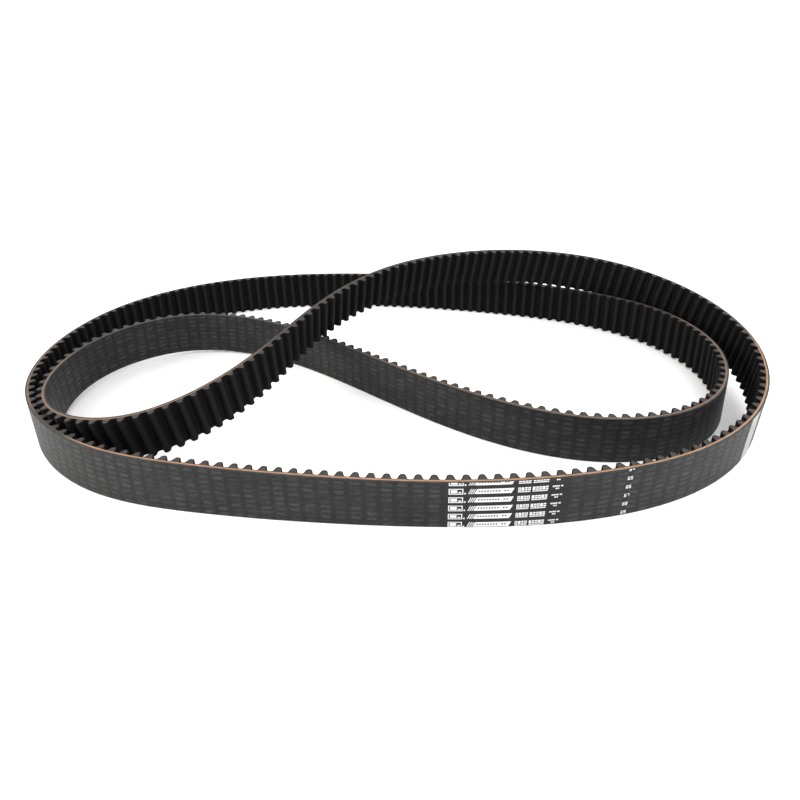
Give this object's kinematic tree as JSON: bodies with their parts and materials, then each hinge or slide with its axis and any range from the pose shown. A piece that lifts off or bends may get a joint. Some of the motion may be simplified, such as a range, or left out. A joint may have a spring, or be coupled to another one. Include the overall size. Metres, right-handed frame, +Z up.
{
  "type": "timing belt",
  "caption": "Endless rubber timing belt with curved teeth inside and a plain printed back, standing on edge in a free crossed loop.",
  "frame": {"origin": "on the floor, under the middle of the loop's box", "axes": "+Z up, across the belt's width; +X along the loop's long way, to the right; the printed front strand faces -Y"},
  "size_m": [0.8694, 0.4977, 0.1256],
  "materials": {
    "cover_rubber": "satin, faintly ribbed",
    "tooth_rubber": "matt, cut",
    "facing_fabric": "black woven nylon",
    "load_cord": "tan treated fibre",
    "white_ink": "printed",
    "label_paper": "plain paper"
  },
  "bodies": {
    "root": {"cover_front_left": "cover_rubber", "cover_front_right": "cover_rubber", "cover_right_outer_turn": "cover_rubber", "cover_arch": "cover_rubber", "cover_bridge": "cover_rubber", "cover_left_inner_turn": "cover_rubber", "cover_crossing": "cover_rubber", "cover_inner_front": "cover_rubber", "cover_right_inner_turn": "cover_rubber", "cover_back_right": "cover_rubber", "cover_back_left": "cover_rubber", "cover_left_outer_turn": "cover_rubber", "teeth_front_left": "tooth_rubber", "teeth_front_right": "tooth_rubber", "teeth_right_outer_turn": "tooth_rubber", "teeth_arch": "tooth_rubber", "teeth_bridge": "tooth_rubber", "teeth_left_inner_turn": "tooth_rubber", "teeth_crossing": "tooth_rubber", "teeth_inner_front": "tooth_rubber", "teeth_right_inner_turn": "tooth_rubber", "teeth_back_right": "tooth_rubber", "teeth_back_left": "tooth_rubber", "teeth_left_outer_turn": "tooth_rubber", "tooth_facing": "facing_fabric", "load_cord_s": "load_cord", "load_cord_z": "load_cord", "cord_bed": "tooth_rubber", "cut_cord_lower": "load_cord", "cut_cord_upper": "load_cord", "print_emblems": "white_ink", "print_slashes": "white_ink", "print_bars": "white_ink", "print_size_blocks": "white_ink", "print_notes": "white_ink", "print_length_figures": "white_ink", "paper_label": "label_paper"}
  },
  "joints": []
}
